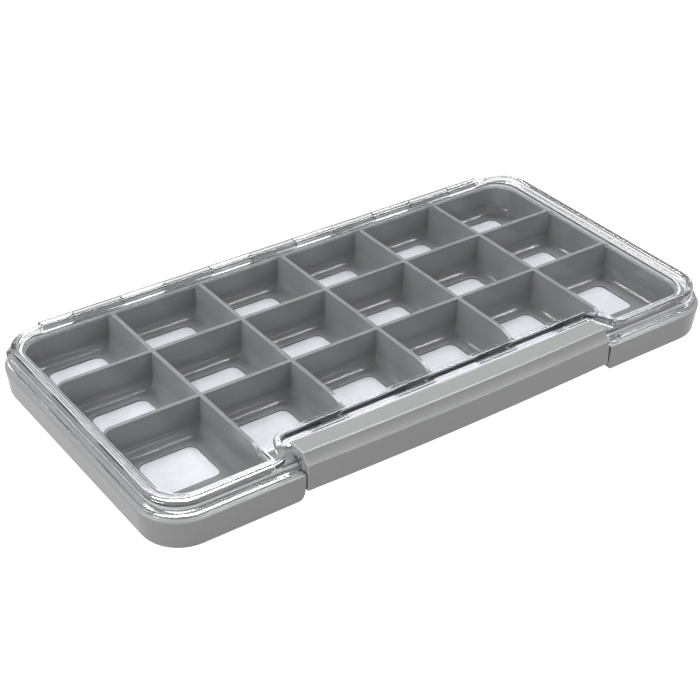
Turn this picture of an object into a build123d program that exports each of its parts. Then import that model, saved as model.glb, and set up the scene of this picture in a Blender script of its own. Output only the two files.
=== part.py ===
"""Slim fly box: a compartment tray with a clear hinged lid and a full-length snap latch.

Millimetres, +Z up. The origin is on the table under the middle of the closed box, +X runs
along the long side and -Y points at the latch.
"""

from build123d import *
from math import asin, degrees, radians, tan
import os

os.makedirs("parts", exist_ok=True)

# ---------------------------------------------------------------- tray, outside
base_length = 197.0
base_depth = 101.3
corner_radius = 13.0
wall_draft = 6.0            # degrees that the outer wall leans inwards on its way down
bottom_radius = 2.2
shoulder_radius = 0.6
shoulder_height = 9.9       # the ledge on which the lid's skirt closes
rim_rise = 1.5              # the raised rim inside that ledge
rim_width = 2.3
rim_end_setback = 4.0       # the ledge runs back to this distance from the rear face

# ---------------------------------------------------------------- tray, compartments
column_count = 6
row_count = 3
column_pitch = 30.5
row_pitch = 27.2
rear_cell_depth = 25.5
divider_thickness = 1.2
divider_rise = 1.7          # how far the dividers stand above the rim
divider_end_radius = 1.6     # in elevation
divider_end_gap = 0.8
side_wall = 6.6
rear_wall = 4.6
front_wall = 7.0
floor_thickness = 2.0
floor_fillet = 3.0
tray_corner_radius = 8.0
front_slope_radius = 11.0   # the middle dividers curve down towards the latch
front_slope_start = 11.8    # how far behind the middle front wall that curve begins
front_slope_drop = 4.2
outer_slope_radius = 5.5    # the two dividers beside the corner cells end in a tighter curve
outer_slope_start = 4.3

# ---------------------------------------------------------------- floor pads
pad_length = 18.1
pad_depth = 15.9
pad_radius = 2.6
pad_thickness = 0.8
pad_below_floor = 0.35
pad_clearance = 0.05
pad_edge_radius = 0.2

# ---------------------------------------------------------------- latch bay and latch
latch_length = 107.6
latch_end_gap = 0.7
latch_proud = 0.5           # the middle of the latch stands this far in front of the tray
latch_bow = 0.9             # its ends curve back by this much
latch_wall = 1.8
latch_bottom = 4.0
latch_face_top = 12.2       # where the upright face turns into the sloping band
latch_crown_height = 15.2   # where the sloping band turns into the flat top
latch_crown_setback = 2.4
latch_band_hollow = 0.25
latch_lip_depth = 8.5
latch_lip_thickness = 1.0
latch_end_rib = 1.6
latch_rib_foot = 1.4
latch_rib_clearance = 0.5
latch_edge_radius = 0.5
bay_depth = 6.2
bay_wall = 6.0
bay_corner_radius = 4.0     # the wall's lower corners beside the latch
latch_barrel_radius = 1.4
trunnion_radius = 0.9
trunnion_length = 1.6
trunnion_clearance = 0.06
trunnion_end_gap = 0.3

# ---------------------------------------------------------------- lid
lid_divider_gap = 0.3
lid_plate = 1.2
lid_ridge_rise = 1.25
lid_ledge_drop = 0.6        # the ledge beside the latch lies this far below the plate's top
lid_inset = 2.3             # from the tray's outline to the lid's upright side
flange_inset = 1.0
flange_step_inset = 2.0     # the flange is narrower beside the latch
flange_step_length = 4.5
flange_thickness = 1.3      # at its edge; its top slopes up from there to the lid's side
flange_slope = 17.0         # degrees
flange_edge_radius = 0.5
skirt_gap = 0.3
ridge_width = 2.2
ridge_radius = 0.8
ridge_notch_depth = 9.75    # how far the ridge steps back behind the latch
ridge_notch_outer = 119.2   # width of that step at the front
ridge_notch_inner = 111.2   # width of that step at its back
ridge_bend_radius = 4.0
cavity_clearance = 0.5
cavity_rear_clearance = 0.2
ledge_latch_gap = 0.6       # between the lid's ledge and the ends of the latch's lip

# ---------------------------------------------------------------- seal
seal_width = 0.9
seal_height = 1.95
seal_groove_offset = 0.7
seal_groove_depth = 0.9
seal_side_clearance = 0.05
seal_lid_gap = 0.15
seal_lip_radius = 0.4

# ---------------------------------------------------------------- lid hinge
knuckle_radius = 1.8
knuckle_length = 16.0       # the tray's knuckles
knuckle_pitch = 31.35
knuckle_count = 5
knuckle_shift = -1.2        # the row of knuckles sits this far off the middle
knuckle_gap = 0.3
knuckle_web = 2.6           # depth of the web that carries a tray knuckle
hinge_length = 165.0
hinge_height = 14.05
pin_radius = 0.7
pin_end_setback = 0.5
pin_chamfer = 0.2
pin_tray_clearance = 0.02
pin_lid_clearance = 0.05

cut_margin = 5.0            # how far a cutting solid runs past the face that it opens
outline_match = 0.01        # how near an edge lies to the outline that it belongs to

# ---------------------------------------------------------------- worked-out places
overall_depth = base_depth + latch_proud
rear_y = overall_depth / 2
front_y = rear_y - base_depth
base_centre_y = (rear_y + front_y) / 2

rim_height = shoulder_height + rim_rise
divider_height = rim_height + divider_rise
inner_half_length = base_length / 2 - side_wall
inner_rear_y = rear_y - rear_wall
corner_front_y = front_y + front_wall
bay_y = front_y + bay_depth
middle_front_y = bay_y + bay_wall
bay_half_length = latch_length / 2 + latch_end_gap
first_divider_y = inner_rear_y - rear_cell_depth - divider_thickness / 2
outer_divider_x = column_pitch * (column_count / 2 - 1)

pad_top = floor_thickness - pad_below_floor
pad_bottom = pad_top - pad_thickness

plate_under = divider_height + lid_divider_gap
plate_top = plate_under + lid_plate
ridge_top = plate_top + lid_ridge_rise
ledge_top = plate_top - lid_ledge_drop
skirt_bottom = shoulder_height + skirt_gap
seal_top = rim_height - seal_groove_depth + seal_height
rim_under = seal_top + seal_lid_gap
flange_top = skirt_bottom + flange_thickness
flange_slope_rise = (lid_inset - flange_inset) * tan(radians(flange_slope))
cavity_rear_y = inner_rear_y + cavity_rear_clearance

hinge_y = rear_y - knuckle_radius
latch_front = -overall_depth / 2
latch_axis_y = latch_front + latch_bow + latch_wall
latch_axis_z = latch_bottom + latch_barrel_radius
ledge_edge_y = latch_front + latch_bow + latch_lip_depth + ledge_latch_gap
bow_radius = (latch_length ** 2 / 4 + latch_bow ** 2) / (2 * latch_bow)
bow_centre_y = latch_front + bow_radius
bow_angle = degrees(asin(latch_length / 2 / (bow_radius - latch_lip_depth)))


def rounded_outline(inset):
    """The tray's outline in plan, drawn in by the same amount all round."""
    with BuildSketch() as outline:
        with Locations((0, base_centre_y)):
            RectangleRounded(base_length - 2 * inset, base_depth - 2 * inset, corner_radius - inset)
    return outline.sketch


def slab(x_low, x_high, y_low, y_high):
    """A plain rectangle given by its sides."""
    with BuildSketch() as rectangle:
        with Locations(((x_low + x_high) / 2, (y_low + y_high) / 2)):
            Rectangle(x_high - x_low, y_high - y_low)
    return rectangle.sketch


def compartment_outline(grow):
    """The hollow of the tray in plan: the middle cells stop behind the latch bay."""
    inner_x = outer_divider_x + divider_thickness / 2
    with BuildSketch() as outline:
        add(slab(-inner_half_length, inner_half_length, middle_front_y, inner_rear_y))
        add(slab(inner_x, inner_half_length, corner_front_y, inner_rear_y))
        add(slab(-inner_half_length, -inner_x, corner_front_y, inner_rear_y))
        outer_corners = outline.vertices().filter_by(lambda v: abs(v.X) > inner_x + divider_thickness)
        fillet(outer_corners, tray_corner_radius)
        if grow:
            offset(amount=grow)
    return outline.sketch


def ridge_outline(grow):
    """The middle line of the lid's raised ridge, with its step round the latch."""
    middle_inset = lid_inset + ridge_width / 2
    half_x = base_length / 2 - middle_inset
    rear = rear_y - middle_inset
    front = front_y + middle_inset
    notch = front + ridge_notch_depth
    corners = [
        (-half_x, rear),
        (half_x, rear),
        (half_x, front),
        (ridge_notch_outer / 2, front),
        (ridge_notch_inner / 2, notch),
        (-ridge_notch_inner / 2, notch),
        (-ridge_notch_outer / 2, front),
        (-half_x, front),
    ]
    with BuildSketch() as outline:
        with BuildLine():
            Polyline(*corners, close=True)
        make_face()
        box_corners = outline.vertices().filter_by(lambda v: abs(v.X) > half_x - ridge_width)
        fillet(box_corners, corner_radius - middle_inset)
        bends = outline.vertices().filter_by(lambda v: abs(v.X) < ridge_notch_outer / 2 + ridge_width / 2)
        fillet(bends, ridge_bend_radius)
        if grow:
            offset(amount=grow)
    return outline.sketch


def cell_hollow(x_low, x_high, y_low, y_high):
    """One compartment: upright walls, a rounded foot and a rounded tray corner."""
    with BuildPart() as hollow:
        with BuildSketch(Plane.XY.offset(floor_thickness)) as mouth:
            add(slab(x_low, x_high, y_low, y_high))
            at_side = mouth.vertices().filter_by(lambda v: abs(abs(v.X) - inner_half_length) < pad_clearance)
            at_end = at_side.filter_by(
                lambda v: min(abs(v.Y - inner_rear_y), abs(v.Y - corner_front_y)) < pad_clearance
            )
            if at_end:
                fillet(at_end, tray_corner_radius)
        extrude(amount=divider_height - floor_thickness + cut_margin)
        fillet(hollow.faces().sort_by(Axis.Z)[0].edges(), floor_fillet)
    return hollow.part


def column_edges(column):
    """The left and right face of a column of cells."""
    half_divider = divider_thickness / 2
    low = -inner_half_length if column == 0 else column_pitch * (column - column_count / 2) + half_divider
    last = column == column_count - 1
    high = inner_half_length if last else column_pitch * (column + 1 - column_count / 2) - half_divider
    return low, high


def divider_y(index):
    """The middle line of a cross divider; number 1 is the one behind."""
    return first_divider_y - (index - 1) * row_pitch


def row_edges(row, column):
    """The front and rear face of a cell; row 0 is the rear row."""
    half_divider = divider_thickness / 2
    high = inner_rear_y if row == 0 else divider_y(row) - half_divider
    corner_cell = column in (0, column_count - 1)
    front = corner_front_y if corner_cell else middle_front_y
    low = front if row == row_count - 1 else divider_y(row + 1) + half_divider
    return low, high


def pad_centre(row, column):
    """The pads sit on the regular pitch of the dividers."""
    x = column_pitch * (column + 0.5 - column_count / 2)
    y = first_divider_y + row_pitch / 2 - row * row_pitch
    return x, y


def knuckle_centres():
    """The middles of the tray's hinge knuckles along X."""
    middle = (knuckle_count - 1) / 2
    return [knuckle_shift + knuckle_pitch * (index - middle) for index in range(knuckle_count)]


def lid_knuckle_spans():
    """The gaps between the tray's knuckles, which the lid's knuckles fill."""
    stops = [-hinge_length / 2 - knuckle_gap]
    for centre in knuckle_centres():
        stops += [centre - knuckle_length / 2, centre + knuckle_length / 2]
    stops.append(hinge_length / 2 + knuckle_gap)
    pairs = zip(stops[0::2], stops[1::2])
    return [(low + knuckle_gap, high - knuckle_gap) for low, high in pairs]


def on_outline(edge, inset):
    """True for an edge on the upright side of the outline drawn in by the inset."""
    middle = edge.position_at(0.5)
    half_x = base_length / 2 - inset
    half_y = base_depth / 2 - inset
    radius = corner_radius - inset
    over_x = max(abs(middle.X) - (half_x - radius), 0)
    over_y = max(abs(middle.Y - base_centre_y) - (half_y - radius), 0)
    return abs((over_x ** 2 + over_y ** 2) ** 0.5 - radius) < outline_match


def x_cylinder(radius, x_low, x_high, y, z):
    """A round bar along X."""
    with BuildPart() as bar:
        with BuildSketch(Plane.YZ.offset(x_low)):
            with Locations((y, z)):
                Circle(radius)
        extrude(amount=x_high - x_low)
    return bar.part


# ---------------------------------------------------------------- tray
with BuildPart() as divider_tops:
    cap_half_length = inner_half_length - divider_end_gap
    for row in range(1, row_count):
        low = divider_y(row) - divider_thickness / 2
        with BuildSketch(Plane.XY.offset(rim_height)):
            add(slab(-cap_half_length, cap_half_length, low, low + divider_thickness))
        extrude(amount=divider_rise)
    for column in range(1, column_count):
        centre = column_pitch * (column - column_count / 2)
        half = divider_thickness / 2
        with BuildSketch(Plane.XY.offset(rim_height)):
            add(slab(centre - half, centre + half, middle_front_y, inner_rear_y - divider_end_gap))
        extrude(amount=divider_rise)
    top_edges = divider_tops.faces().sort_by(Axis.Z)[-1].edges()
    end_edges = top_edges.filter_by(lambda e: e.length < divider_thickness + pad_clearance)
    rear_ends = end_edges.filter_by(lambda e: e.center().Y > inner_rear_y - divider_thickness)
    side_ends = end_edges.filter_by(lambda e: abs(e.center().X) > cap_half_length - pad_clearance)
    fillet(rear_ends + side_ends, divider_end_radius)

with BuildPart() as front_slopes:
    for column in range(1, column_count):
        centre = column_pitch * (column - column_count / 2)
        outer = column in (1, column_count - 1)
        radius = outer_slope_radius if outer else front_slope_radius
        start_y = middle_front_y + (outer_slope_start if outer else front_slope_start)
        drop = rim_height if outer else divider_height - front_slope_drop
        with BuildSketch(Plane.YZ.offset(centre - divider_thickness)) as above_curve:
            with Locations(((start_y + middle_front_y) / 2, divider_height)):
                Rectangle(start_y - middle_front_y, 2 * (divider_height - drop))
            with Locations((start_y, divider_height - radius)):
                Circle(radius, mode=Mode.SUBTRACT)
        extrude(amount=2 * divider_thickness)

with BuildPart() as body:
    with BuildSketch(Plane.XY.offset(shoulder_height)):
        add(rounded_outline(0))
    extrude(amount=-shoulder_height, taper=wall_draft)
    with BuildSketch():
        add(slab(-bay_half_length, bay_half_length, front_y - cut_margin, bay_y))
    extrude(amount=shoulder_height, mode=Mode.SUBTRACT)
    fillet(body.faces().sort_by(Axis.Z)[0].edges(), bottom_radius)
    with BuildSketch(Plane.XZ.offset(-bay_y)):
        for side in (-1, 1):
            middle_x = side * (bay_half_length + bay_corner_radius / 2)
            with Locations((middle_x, bay_corner_radius / 2)):
                Rectangle(bay_corner_radius, bay_corner_radius)
            with Locations((side * (bay_half_length + bay_corner_radius), bay_corner_radius)):
                Circle(bay_corner_radius, mode=Mode.SUBTRACT)
    extrude(amount=bay_depth + cut_margin, mode=Mode.SUBTRACT)

rim_end_y = rear_y - rim_end_setback
with BuildPart() as rear_block:
    add(body.part)
    with BuildSketch():
        add(slab(-base_length, base_length, rim_end_y, rear_y + cut_margin))
    extrude(amount=shoulder_height, mode=Mode.INTERSECT)

with BuildPart() as base:
    add(body.part)
    shoulder_edges = base.edges().filter_by_position(Axis.Z, shoulder_height, shoulder_height)
    fillet(shoulder_edges.filter_by(lambda e: on_outline(e, 0)), shoulder_radius)
    add(rear_block.part)

    # the raised rim, which runs out to the rear face behind the ledge
    with BuildSketch(Plane.XY.offset(shoulder_height)):
        add(rounded_outline(0))
        add(slab(-base_length, base_length, rim_end_y, rear_y + cut_margin), mode=Mode.INTERSECT)
        add(rounded_outline(side_wall - rim_width))
        add(slab(-bay_half_length, bay_half_length, front_y - cut_margin, bay_y), mode=Mode.SUBTRACT)
    extrude(amount=rim_rise)

    # the compartments, with the dividers standing above the rim
    add(divider_tops.part)
    for row in range(row_count):
        for column in range(column_count):
            add(cell_hollow(*column_edges(column), *row_edges(row, column)), mode=Mode.SUBTRACT)
    add(front_slopes.part, mode=Mode.SUBTRACT)

    # recesses for the pads
    with BuildSketch(Plane.XY.offset(pad_bottom)):
        for row in range(row_count):
            for column in range(column_count):
                with Locations(pad_centre(row, column)):
                    RectangleRounded(
                        pad_length + 2 * pad_clearance,
                        pad_depth + 2 * pad_clearance,
                        pad_radius + pad_clearance,
                    )
    extrude(amount=floor_thickness, mode=Mode.SUBTRACT)

    # the groove for the seal
    with BuildSketch(Plane.XY.offset(rim_height - seal_groove_depth)):
        add(compartment_outline(seal_groove_offset + seal_width + 2 * seal_side_clearance))
        add(compartment_outline(seal_groove_offset), mode=Mode.SUBTRACT)
    extrude(amount=seal_groove_depth + divider_rise, mode=Mode.SUBTRACT)

    # hinge knuckles on their webs
    for centre in knuckle_centres():
        low = centre - knuckle_length / 2
        high = centre + knuckle_length / 2
        with BuildSketch(Plane.XY.offset(rim_height)):
            add(slab(low, high, rear_y - knuckle_web, rear_y))
        extrude(amount=hinge_height - rim_height)
        add(x_cylinder(knuckle_radius, low, high, hinge_y, hinge_height))
    pin_half = hinge_length / 2
    tray_bore = pin_radius + pin_tray_clearance
    add(x_cylinder(tray_bore, -pin_half, pin_half, hinge_y, hinge_height), mode=Mode.SUBTRACT)

    # bores for the latch's trunnions
    bore_end = latch_length / 2 + trunnion_length + trunnion_end_gap
    bore = trunnion_radius + trunnion_clearance
    add(x_cylinder(bore, -bore_end, bore_end, latch_axis_y, latch_axis_z), mode=Mode.SUBTRACT)
base.part.label = "base"
export_step(base.part, "parts/base.step")

# ---------------------------------------------------------------- pads
for row in range(row_count):
    for column in range(column_count):
        with BuildPart() as pad:
            with BuildSketch(Plane.XY.offset(pad_bottom)):
                with Locations(pad_centre(row, column)):
                    RectangleRounded(pad_length, pad_depth, pad_radius)
            extrude(amount=pad_thickness)
            fillet(pad.faces().sort_by(Axis.Z)[-1].edges(), pad_edge_radius)
        pad.part.label = f"pad_r{row + 1}_c{column + 1}"
        export_step(pad.part, f"parts/{pad.part.label}.step")

# ---------------------------------------------------------------- seal
with BuildPart() as seal:
    with BuildSketch(Plane.XY.offset(rim_height - seal_groove_depth)):
        add(compartment_outline(seal_groove_offset + seal_side_clearance + seal_width))
        add(compartment_outline(seal_groove_offset + seal_side_clearance), mode=Mode.SUBTRACT)
    extrude(amount=seal_height)
    fillet(seal.faces().sort_by(Axis.Z)[-1].edges(), seal_lip_radius)
seal.part.label = "seal"
export_step(seal.part, "parts/seal.step")

# ---------------------------------------------------------------- lid
with BuildPart() as lid:
    # the slab above the rim and the ledge beside the latch
    with BuildSketch(Plane.XY.offset(rim_under)):
        add(rounded_outline(lid_inset))
    extrude(amount=ledge_top - rim_under)

    # the plate and the ridge round it
    with BuildSketch(Plane.XY.offset(ledge_top)):
        add(ridge_outline(ridge_width / 2))
    extrude(amount=ridge_top - ledge_top)
    with BuildSketch(Plane.XY.offset(plate_top)):
        add(ridge_outline(-ridge_width / 2))
    extrude(amount=ridge_top - plate_top, mode=Mode.SUBTRACT)
    ridge_edges = lid.faces().sort_by(Axis.Z)[-1].edges()
    fillet(ridge_edges, ridge_radius)

    # the space for the dividers' tops
    with BuildSketch(Plane.XY.offset(rim_under)):
        add(compartment_outline(cavity_clearance))
        add(slab(-base_length, base_length, front_y, cavity_rear_y), mode=Mode.INTERSECT)
    extrude(amount=plate_under - rim_under, mode=Mode.SUBTRACT)

    # the skirt outside the rim and the flange above the ledge
    with BuildSketch(Plane.XY.offset(skirt_bottom)):
        add(rounded_outline(lid_inset))
    extrude(amount=rim_under - skirt_bottom)
    with BuildSketch(Plane.XY.offset(skirt_bottom)):
        add(rounded_outline(flange_inset))
    extrude(amount=flange_thickness)
    with BuildSketch(Plane.XY.offset(flange_top)):
        add(rounded_outline(flange_inset))
    extrude(amount=flange_slope_rise, taper=90 - flange_slope)
    with BuildSketch(Plane.XY.offset(skirt_bottom)):
        add(rounded_outline(side_wall - rim_width - skirt_gap))
    extrude(amount=rim_under - skirt_bottom, mode=Mode.SUBTRACT)
    flange_edges = lid.edges().filter_by(
        lambda e: e.bounding_box().max.Z < flange_top + pad_clearance
        and e.length > cut_margin
        and on_outline(e, flange_inset)
    )
    fillet(flange_edges, flange_edge_radius)

    # open at the latch, with a straight edge that clears the ends of its curved lip
    with BuildSketch():
        add(slab(-bay_half_length, bay_half_length, front_y - cut_margin, ledge_edge_y))
    extrude(amount=ridge_top, mode=Mode.SUBTRACT)
    with BuildSketch():
        step_half = bay_half_length + flange_step_length
        add(slab(-step_half, step_half, front_y - cut_margin, front_y + flange_step_inset))
    extrude(amount=ridge_top, mode=Mode.SUBTRACT)

    # clear of the rear wall when the lid swings open
    with BuildSketch(Plane.XY.offset(skirt_bottom - cut_margin)):
        shadow_half = inner_half_length + rim_width + skirt_gap
        add(slab(-shadow_half, shadow_half, rear_y - corner_radius, rear_y + cut_margin))
    extrude(amount=rim_under - skirt_bottom + cut_margin, mode=Mode.SUBTRACT)

    # knuckles on their arms, and the slots between them
    for centre in knuckle_centres():
        half = knuckle_length / 2 + knuckle_gap
        slot_front = hinge_y - knuckle_radius - knuckle_gap
        with BuildSketch():
            add(slab(centre - half, centre + half, slot_front, rear_y + cut_margin))
        extrude(amount=ridge_top, mode=Mode.SUBTRACT)
    for low, high in lid_knuckle_spans():
        with BuildSketch(Plane.XY.offset(rim_under)):
            add(slab(low, high, cavity_rear_y, hinge_y))
        extrude(amount=hinge_height - rim_under)
        add(x_cylinder(knuckle_radius, low, high, hinge_y, hinge_height))
    lid_bore = pin_radius + pin_lid_clearance
    add(x_cylinder(lid_bore, -pin_half, pin_half, hinge_y, hinge_height), mode=Mode.SUBTRACT)
lid.part.label = "lid"
export_step(lid.part, "parts/lid.step")

# ---------------------------------------------------------------- hinge pin
pin_reach = hinge_length / 2 - pin_end_setback
with BuildPart() as hinge_pin:
    add(x_cylinder(pin_radius, -pin_reach, pin_reach, hinge_y, hinge_height))
    chamfer(hinge_pin.edges(), pin_chamfer)
hinge_pin.part.label = "hinge_pin"
export_step(hinge_pin.part, "parts/hinge_pin.step")

# ---------------------------------------------------------------- latch
inner_front = latch_front + latch_wall
lip_end = latch_front + latch_lip_depth
lip_under = latch_crown_height - latch_lip_thickness
crown_y = latch_front + latch_crown_setback
with BuildPart() as latch:
    with BuildSketch(Plane.YZ) as section:
        with BuildLine():
            band_middle = (
                (latch_front + crown_y) / 2 + latch_band_hollow,
                (latch_face_top + latch_crown_height) / 2 - latch_band_hollow,
            )
            ThreePointArc((latch_front, latch_face_top), band_middle, (crown_y, latch_crown_height))
            Polyline(
                (crown_y, latch_crown_height),
                (lip_end, latch_crown_height),
                (lip_end, lip_under),
                (crown_y + latch_lip_thickness, lip_under),
                (inner_front, latch_face_top - latch_lip_thickness),
                (inner_front, latch_bottom),
                (latch_front, latch_bottom),
                (latch_front, latch_face_top),
            )
        make_face()
        outer_corners = section.vertices().filter_by(lambda v: v.Y < crown_y + pad_clearance)
        fillet(outer_corners.filter_by(lambda v: v.Z > latch_bottom + pad_clearance), latch_edge_radius)
    bow_axis = Axis((0, bow_centre_y, 0), (0, 0, 1))
    revolve(axis=bow_axis, revolution_arc=bow_angle)
    mirror(about=Plane.YZ)

    # the barrel behind the foot of the wall, and a rib at each end
    half = latch_length / 2
    with BuildSketch():
        add(slab(-half, half, latch_front - cut_margin, middle_front_y))
    extrude(amount=ridge_top, mode=Mode.INTERSECT)
    add(x_cylinder(latch_barrel_radius, -half, half, latch_axis_y, latch_axis_z))
    rib_front = inner_front + latch_bow / 2
    rib_rear = bay_y - latch_rib_clearance
    for low in (-half, half - latch_end_rib):
        with BuildSketch(Plane.YZ.offset(low)):
            with BuildLine():
                Polyline(
                    (rib_front, latch_axis_z),
                    (latch_axis_y + latch_rib_foot, latch_axis_z),
                    (rib_rear, lip_under + latch_lip_thickness / 2),
                    (crown_y + latch_lip_thickness, lip_under + latch_lip_thickness / 2),
                    (rib_front, latch_face_top - latch_lip_thickness),
                    close=True,
                )
            make_face()
        extrude(amount=latch_end_rib)
    trunnion_reach = half + trunnion_length
    add(x_cylinder(trunnion_radius, -trunnion_reach, trunnion_reach, latch_axis_y, latch_axis_z))
latch.part.label = "latch"
export_step(latch.part, "parts/latch.step")
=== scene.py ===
# %% [markdown]
# # A slim fly box, dressed for its portrait
# This lesson takes the finished solids of a fly box and gives them their looks: satin grey
# mouldings, a clear lid, white-faced pads, a soft seal and a wire pin. The solids come from the
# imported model, so the script begins by loading it and by noting how large it is.

import math

import bmesh
import bpy
from mathutils import Matrix, Vector

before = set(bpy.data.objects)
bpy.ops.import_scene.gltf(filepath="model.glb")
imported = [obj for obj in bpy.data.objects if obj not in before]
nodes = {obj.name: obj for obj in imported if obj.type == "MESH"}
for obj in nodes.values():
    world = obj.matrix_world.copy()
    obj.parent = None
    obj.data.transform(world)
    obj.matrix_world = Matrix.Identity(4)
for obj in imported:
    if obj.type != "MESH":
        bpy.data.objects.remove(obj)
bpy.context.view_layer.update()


# %% [markdown]
# ## The camera
# A long lens flattens perspective, which is how a product like this is usually shown. The
# camera is described as a person would walk it into place: a point on the box to look at, an
# angle round the box, an angle above the table, and a distance. Its three axes are built from
# those angles and stacked into a matrix, because a matrix can't tip over as Euler angles can.

# %% Place the camera
LOOK_AT = Vector((-0.01377, -0.01243, 0.0138))
AZIMUTH = math.radians(-35.49)
ELEVATION = math.radians(33.16)
ROLL = 0.0084
DISTANCE = 0.4628
LENS_MM = 81.89
SENSOR_MM = 36.0
NEAREST_SEEN = 0.01


def camera_matrix(target, azimuth, elevation, roll, distance):
    """The camera's place and turn: X to the right, Y up and Z back from what it looks at."""
    back = Vector(
        (
            math.sin(azimuth) * math.cos(elevation),
            -math.cos(azimuth) * math.cos(elevation),
            math.sin(elevation),
        )
    )
    right = Vector((math.cos(azimuth), math.sin(azimuth), 0.0))
    up = back.cross(right)
    x_axis = right * math.cos(roll) + up * math.sin(roll)
    y_axis = up * math.cos(roll) - right * math.sin(roll)
    turn = Matrix((x_axis, y_axis, back)).transposed().to_4x4()
    return Matrix.Translation(target + back * distance) @ turn


lens = bpy.data.cameras.new("portrait_lens")
lens.lens = LENS_MM
lens.sensor_width = SENSOR_MM
lens.clip_start = NEAREST_SEEN
camera = bpy.data.objects.new("portrait_camera", lens)
camera.matrix_world = camera_matrix(LOOK_AT, AZIMUTH, ELEVATION, ROLL, DISTANCE)
bpy.context.scene.collection.objects.link(camera)
bpy.context.scene.camera = camera
bpy.context.scene.view_settings.view_transform = "Standard"
print("camera at", [round(v, 4) for v in camera.location])

# %% [markdown]
# ## Shader maths in plain Python
# A procedural material is arithmetic on patterns. Written as Math nodes by hand it soon becomes
# unreadable, so `Value` wraps one output socket and lets the ordinary operators add the Math
# nodes. Each operator has its reflected form too, so that `1.0 - mask` works as well.

# %% Let operators add Math nodes


class Value:
    """One number that varies over a surface, with the usual operators."""

    def __init__(self, owner, socket):
        self.owner = owner
        self.socket = socket

    def _math(self, operation, first, second):
        return self.owner.value(
            "ShaderNodeMath", {"operation": operation}, {0: first, 1: second}
        )

    def __add__(self, other):
        return self._math("ADD", self, other)

    __radd__ = __add__

    def __sub__(self, other):
        return self._math("SUBTRACT", self, other)

    def __rsub__(self, other):
        return self._math("SUBTRACT", other, self)

    def __mul__(self, other):
        return self._math("MULTIPLY", self, other)

    __rmul__ = __mul__

# %% [markdown]
# ## Any node in one call
# `NodeTree` adds a node from its type, then its settings, then the values or links of its
# sockets. The settings, such as a Math node's operation or a ramp's stops, come first, because
# some of them change which sockets a node has. A plain number goes on the socket itself.

# %% Build node trees


class NodeTree:
    """A node tree that is built up one call at a time."""

    def __init__(self, tree):
        self.tree = tree
        self.tree.nodes.clear()

    def node(self, kind, settings=None, sockets=None):
        """Adds a node: settings first, then what goes into its sockets."""
        made = self.tree.nodes.new(kind)
        for key, setting in (settings or {}).items():
            if key == "stops":
                self._fill_ramp(made.color_ramp, setting)
            else:
                setattr(made, key, setting)
        for key, content in (sockets or {}).items():
            self.feed(made.inputs[key], content)
        return made

    def value(self, kind, settings=None, sockets=None, out=0):
        """The same, but hands back one output as a Value."""
        return Value(self, self.node(kind, settings, sockets).outputs[out])

    def feed(self, socket, content):
        """Links a Value or a socket, or sets a plain number or colour."""
        if isinstance(content, Value):
            content = content.socket
        if isinstance(content, bpy.types.NodeSocket):
            self.tree.links.new(content, socket)
        else:
            socket.default_value = content

    @staticmethod
    def _fill_ramp(ramp, stops):
        while len(ramp.elements) < len(stops):
            ramp.elements.new(1.0)
        for element, (position, colour) in zip(ramp.elements, stops):
            element.position = position
            element.color = colour

# %% [markdown]
# ## What the finishes share
# Most finishes take the same three steps: a noise, a ramp that turns it into a colour, and a
# Principled shader. The noise reads Object coordinates, which move with the piece, so that a
# pattern never slides when a joint turns.

# %% Build materials and put them on


class Material(NodeTree):
    """A surface material."""

    def __init__(self, name):
        self.data = bpy.data.materials.new(name)
        self.data.use_nodes = True
        super().__init__(self.data.node_tree)

    def noise(self, scale, detail=2.0, squeeze=None):
        """A noise that stays with the piece, squeezed along its axes if asked."""
        place = self.node("ShaderNodeTexCoord").outputs["Object"]
        if squeeze:
            mapping = self.node("ShaderNodeMapping", {}, {"Vector": place, "Scale": squeeze})
            place = mapping.outputs["Vector"]
        return self.value(
            "ShaderNodeTexNoise", {}, {"Vector": place, "Scale": scale, "Detail": detail}
        )

    def shade(self, pattern, *stops):
        """A colour from a pattern, by a ramp with a colour at each stop."""
        ramp = [(position, (*colour, 1.0)) for position, colour in stops]
        return self.node("ShaderNodeValToRGB", {"stops": ramp}, {"Fac": pattern}).outputs["Color"]

    def skin(self, **sockets):
        """A Principled shader; a socket's name is written with _ for each space."""
        named = {key.replace("_", " "): content for key, content in sockets.items()}
        return self.node("ShaderNodeBsdfPrincipled", {}, named)

    def finish(self, shader):
        """Sends the shader to the surface."""
        output = self.node("ShaderNodeOutputMaterial")
        self.feed(output.inputs["Surface"], shader.outputs[0])
        return self.data


def dress(material, *names):
    """Gives CAD nodes their material."""
    for name in names:
        slots = nodes[name].data.materials
        slots.clear()
        slots.append(material)
    print(material.name, "on", ", ".join(names))


# %% [markdown]
# ## Satin grey plastic
# The tray and the latch are injection moulded in a mid grey with a faint satin grain. Real
# moulded plastic is never quite even: its colour drifts a little over the part, and its skin
# scatters light unevenly. A low-frequency noise shifts colour, a finer one shifts roughness, and
# a very fine one drives the bump. The Bevel node rounds the edges for light only, which is where
# a moulding catches its thin bright lines. How far its rounded normal leans away from the face's
# own normal also tells where an edge is, and there a painted highlight lightens the base colour
# towards a pale grey, in place of the bright lines that light draws along the edges.

# %% Make the grey plastic
TRAY_GREYS = (0.216, 0.220, 0.218), (0.248, 0.252, 0.249)
LATCH_GREYS = (0.226, 0.230, 0.228), (0.258, 0.262, 0.259)
# The pale grey that edges are painted towards, as a painted highlight.
EDGE_HIGHLIGHT_GREY = (0.50, 0.50, 0.50)
PLASTIC_IOR = 1.49
DRIFT_SCALE, CLOUD_SCALE, GRAIN_SCALE = 22.0, 95.0, 1400.0
DARK_AT, LIGHT_AT = 0.3, 0.7
DRIFT_SHARE, GRAIN_SHARE = 0.6, 0.4
PATTERN_SHARE = 0.6
CLOUD_GLOSS = 0.06
GRAIN_STRENGTH, GRAIN_HEIGHT = 0.06, 0.00002


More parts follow.
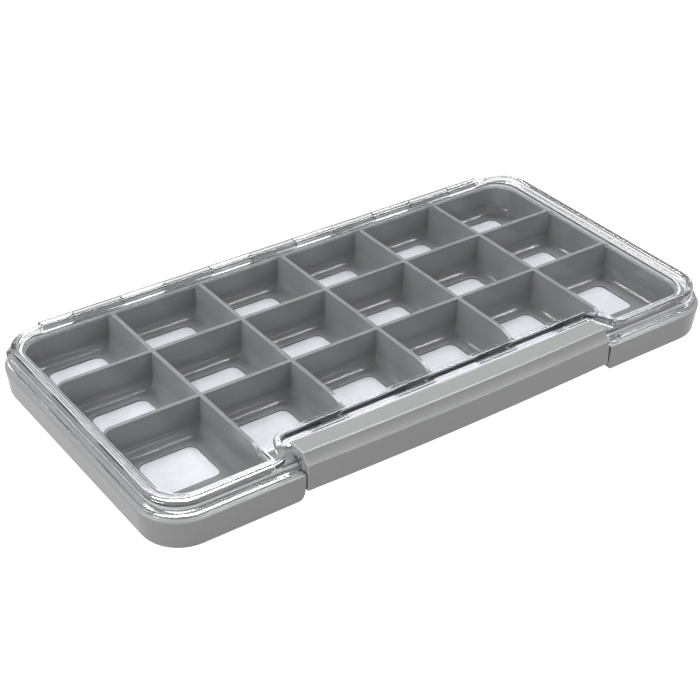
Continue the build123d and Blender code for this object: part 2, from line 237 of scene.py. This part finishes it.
def satin_plastic(name, greys, edge_mm, edge_highlight_gain, gloss):
    """Moulded plastic with a fine grain, softened edges and a highlight painted pale along them.
    """
    m = Material(name)
    dark, light = greys
    drift = m.noise(DRIFT_SCALE, detail=3.0)
    cloud = m.noise(CLOUD_SCALE)
    grain = m.noise(GRAIN_SCALE)
    rounded = m.node("ShaderNodeBevel", {"samples": 8}, {"Radius": edge_mm / 1000})
    face = m.node("ShaderNodeNewGeometry")
    lean = m.value(
        "ShaderNodeVectorMath",
        {"operation": "DOT_PRODUCT"},
        {0: rounded.outputs["Normal"], 1: face.outputs["Normal"]},
        out=1,
    )
    # Painted highlight: where the rounded normal leans away from the face's own, the colour is
    # pushed towards the pale edge grey.
    painted_edge_highlight = (1.0 - lean) * edge_highlight_gain
    pattern = drift * DRIFT_SHARE + grain * GRAIN_SHARE
    colour = m.shade(
        pattern * PATTERN_SHARE + painted_edge_highlight,
        (DARK_AT * PATTERN_SHARE, dark),
        (LIGHT_AT * PATTERN_SHARE, light),
        (1.0, EDGE_HIGHLIGHT_GREY),
    )
    bumped = m.node(
        "ShaderNodeBump",
        {},
        {
            "Strength": GRAIN_STRENGTH,
            "Distance": GRAIN_HEIGHT,
            "Height": grain,
            "Normal": rounded.outputs["Normal"],
        },
    )
    return m.finish(
        m.skin(
            Base_Color=colour,
            Roughness=gloss + cloud * CLOUD_GLOSS,
            Normal=bumped.outputs["Normal"],
            IOR=PLASTIC_IOR,
        )
    )


# The gain sets how strongly the edges are painted with a highlight; the latch's is much the
# stronger.
dress(
    satin_plastic("satin_grey_tray", TRAY_GREYS, edge_mm=0.35, edge_highlight_gain=1.5, gloss=0.11), "base"
)
dress(
    satin_plastic("satin_grey_latch", LATCH_GREYS, edge_mm=0.6, edge_highlight_gain=9.0, gloss=0.2), "latch"
)

# %% [markdown]
# ## The clear lid
# Clear plastic is a Principled shader with full transmission. Lamps can't find their way through
# such glass in a path tracer, and the tray would be left in the dark, so shadow rays, which look
# for the lamps, meet a plain transparent shader in its place. A ray that has bounced about inside
# a thick edge for long comes out dimmed, and that draws the grey lines along the rims. A trace of
# noise in the roughness keeps the reflections from looking like a mirror's.

# %% Make the clear plastic
CLEAR_TINT = (0.955, 0.955, 0.965, 1.0)
TRAPPED_TINT = (0.56, 0.56, 0.61, 1.0)
TRAPPED_AFTER = 4.5
HAZE_SCALE, HAZE = 60.0, 0.02


def clear_plastic(name):
    """Glass-like plastic that lets lamp light through."""
    m = Material(name)
    body = m.skin(
        Base_Color=CLEAR_TINT,
        Roughness=m.noise(HAZE_SCALE) * HAZE,
        IOR=PLASTIC_IOR,
        Transmission_Weight=1.0,
    )
    through = m.node("ShaderNodeBsdfTransparent", {}, {"Color": CLEAR_TINT})
    dimmed = m.node("ShaderNodeBsdfTransparent", {}, {"Color": TRAPPED_TINT})
    path = m.node("ShaderNodeLightPath")
    trapped = m.value(
        "ShaderNodeMath",
        {"operation": "GREATER_THAN"},
        {0: path.outputs["Ray Depth"], 1: TRAPPED_AFTER},
    )
    seen_ray = m.node(
        "ShaderNodeMixShader", {}, {0: trapped, 1: body.outputs["BSDF"], 2: dimmed.outputs["BSDF"]}
    )
    shader = m.node(
        "ShaderNodeMixShader",
        {},
        {
            0: path.outputs["Is Shadow Ray"],
            1: seen_ray.outputs["Shader"],
            2: through.outputs["BSDF"],
        },
    )
    return m.finish(shader)


dress(clear_plastic("clear_lid_plastic"), "lid")

# %% [markdown]
# ## Pads, seal and pin
# The pads are thin plates with a smooth white face that is a touch cooler than paper. The seal is
# milky silicone with a faint bloom on its skin. The pin is drawn wire, and its fine lines run
# along it, so its noise is stretched along X.

# %% Make the small finishes


def pad_facing():
    """A smooth white sheet with faint mottling."""
    m = Material("white_pad_face")
    mottle = m.noise(scale=400.0, detail=3.0)
    colour = m.shade(mottle, (0.35, (0.70, 0.71, 0.74)), (0.65, (0.75, 0.76, 0.79)))
    return m.finish(m.skin(Base_Color=colour, Roughness=0.25 + mottle * 0.1))


def milky_silicone():
    """Soft white rubber with a faint bloom."""
    m = Material("milky_silicone")
    bloom = m.noise(scale=150.0)
    colour = m.shade(bloom, (0.3, (0.70, 0.71, 0.73)), (0.7, (0.77, 0.78, 0.80)))
    return m.finish(m.skin(Base_Color=colour, Roughness=0.4 + bloom * 0.15))


def drawn_wire():
    """Bright steel wire with fine lines along it."""
    m = Material("drawn_steel_wire")
    lines = m.noise(scale=9000.0, squeeze=(0.02, 1.0, 1.0))
    colour = m.shade(lines, (0.3, (0.50, 0.50, 0.50)), (0.7, (0.68, 0.68, 0.67)))
    return m.finish(m.skin(Base_Color=colour, Metallic=1.0, Roughness=0.22 + lines * 0.15))


pad_names = sorted(name for name in nodes if name.startswith("pad_"))
dress(pad_facing(), *pad_names)
dress(milky_silicone(), "seal")
dress(drawn_wire(), "hinge_pin")

# %% [markdown]
# ## The table
# The box stands on a plain white sweep. Photographers light such a sweep from behind until it
# burns out to pure white, while the box itself stays evenly lit. Here the sweep glows for rays
# from the lens, also through the clear lid and off glossy skins, and it is plain matt white for
# the light that bounces off matt surfaces, so it doesn't flood the box from below. It lies a
# tenth of a millimetre under the box, because two faces in one plane would flicker.

# %% Lay the white sweep
FLOOR_SIZE = 6.0
FLOOR_GAP = 0.0001
sheet = bmesh.new()
bmesh.ops.create_grid(sheet, x_segments=1, y_segments=1, size=FLOOR_SIZE / 2)
floor_mesh = bpy.data.meshes.new("white_floor")
sheet.to_mesh(floor_mesh)
sheet.free()
floor = bpy.data.objects.new("white_floor", floor_mesh)
floor.location.z = -FLOOR_GAP
bpy.context.scene.collection.objects.link(floor)
print("the sweep measures", FLOOR_SIZE, "m")

# %% [markdown]
# ## The sweep's paint
# One Mix Shader joins the two sides of the sweep. Its factor is the Diffuse Depth of the ray,
# which counts how often the light has bounced off something matt on its way, held at one.

# %% Paint the sweep
MATT_WHITE = (0.6, 0.6, 0.6, 1.0)
GLOW_WHITE = (1.0, 1.0, 1.0, 1.0)
GLOW_TO_ALL, GLOW_TO_LENS, GLOW_THROUGH_LID = 0.9, 0.6, 0.1

paint = Material("white_floor_paint")
matt = paint.node("ShaderNodeBsdfDiffuse", {}, {"Color": MATT_WHITE})
path = paint.node("ShaderNodeLightPath")
strength = (
    Value(paint, path.outputs["Is Camera Ray"]) * GLOW_TO_LENS
    + Value(paint, path.outputs["Is Transmission Ray"]) * GLOW_THROUGH_LID
    + GLOW_TO_ALL
)
glow = paint.node("ShaderNodeEmission", {}, {"Color": GLOW_WHITE, "Strength": strength})
bounced = paint.value(
    "ShaderNodeMath", {"operation": "MINIMUM"}, {0: path.outputs["Diffuse Depth"], 1: 1.0}
)
floor_mesh.materials.append(
    paint.finish(
        paint.node(
            "ShaderNodeMixShader",
            {},
            {0: bounced, 1: glow.outputs["Emission"], 2: matt.outputs["BSDF"]},
        )
    )
)

# %% [markdown]
# ## The light
# A studio tent has two jobs. It fills the box with soft light from all round, and it is also the
# picture that shiny plastic mirrors. The two are given apart: `FILL` is how bright the tent is
# for the light that lands on matt surfaces, and `SEEN` is what the gloss and the clear lid show.
# `SEEN` has a dark band at the height that the lid's flat top mirrors, so that the view into the
# compartments stays clear. Above that band, behind the box and to its right, hangs a bright
# window. Rounded edges and the round feet of the compartments mirror it as bright lines.

# %% Hang the tent
FILL = [(0.00, 0.75), (0.35, 0.75), (0.55, 0.34), (1.00, 0.26)]
SEEN = [
    (0.00, 0.75),
    (0.12, 0.55),
    (0.22, 0.22),
    (0.45, 0.16),
    (0.64, 0.18),
    (0.72, 0.45),
    (1.00, 0.50),
]
WINDOW_HEIGHTS = [(0.74, 0.0), (0.79, 1.0), (0.92, 1.0), (0.95, 0.0)]
WINDOW_SIDE = (0.72, 0.69, 0.0)
WINDOW_STARTS, WINDOW_FULL = 0.24, 0.32
WINDOW_LEVEL = 14.0


def grey_stops(levels):
    """Ramp stops from plain brightness levels."""
    return [(position, (level, level, level, 1.0)) for position, level in levels]


studio = bpy.data.worlds.new("soft_studio")
studio.use_nodes = True
tent = NodeTree(studio.node_tree)
direction = tent.node("ShaderNodeTexCoord").outputs["Generated"]
height = tent.node("ShaderNodeSeparateXYZ", {}, {"Vector": direction}).outputs["Z"]
fill = tent.value("ShaderNodeValToRGB", {"stops": grey_stops(FILL)}, {"Fac": height})
seen = tent.value("ShaderNodeValToRGB", {"stops": grey_stops(SEEN)}, {"Fac": height})
pane = tent.value("ShaderNodeValToRGB", {"stops": grey_stops(WINDOW_HEIGHTS)}, {"Fac": height})
sideways = tent.value(
    "ShaderNodeVectorMath", {"operation": "DOT_PRODUCT"}, {0: direction, 1: WINDOW_SIDE}, out=1
)
frame_edge = tent.value(
    "ShaderNodeMapRange",
    {},
    {"Value": sideways, "From Min": WINDOW_STARTS, "From Max": WINDOW_FULL},
)
bounces = tent.node("ShaderNodeLightPath").outputs["Diffuse Depth"]
matt_ray = tent.value("ShaderNodeMath", {"operation": "MINIMUM"}, {0: bounces, 1: 1.0})
level = fill * matt_ray + (seen + pane * frame_edge * WINDOW_LEVEL) * (1.0 - matt_ray)
backdrop = tent.node("ShaderNodeBackground", {}, {"Color": level, "Strength": 1.0})
tent.feed(tent.node("ShaderNodeOutputWorld").inputs["Surface"], backdrop.outputs["Background"])
bpy.context.scene.world = studio
print("the tent has", len(FILL), "fill levels, and a window at level", WINDOW_LEVEL)

# %% [markdown]
# ## The lamps
# Soft lamps shape what the tent leaves flat. A weak key lamp hangs high behind the box, a stronger
# one on the left lights the compartment walls that face it, and the third lifts the front. They
# light matt surfaces only, because the tent already gives the gloss its picture.

# %% Hang the lamps


def lamp(name, place, size, power):
    """A soft lamp that points at the box. Size in metres, power in watts."""
    data = bpy.data.lights.new(name, "AREA")
    data.shape = "RECTANGLE"
    data.size, data.size_y = size
    data.energy = power
    made = bpy.data.objects.new(name, data)
    turn = (-Vector(place)).to_track_quat("-Z", "Y")
    made.matrix_world = Matrix.Translation(place) @ turn.to_matrix().to_4x4()
    made.visible_glossy = False
    bpy.context.scene.collection.objects.link(made)
    print(name, "hangs at", place)


lamp("lamp_key", place=(0.30, 0.25, 0.70), size=(0.35, 0.35), power=0.5)
lamp("lamp_left", place=(-0.90, 0.0, 0.42), size=(0.5, 0.3), power=5.5)
lamp("lamp_front", place=(0.2, -0.90, 0.36), size=(0.7, 0.3), power=3.0)
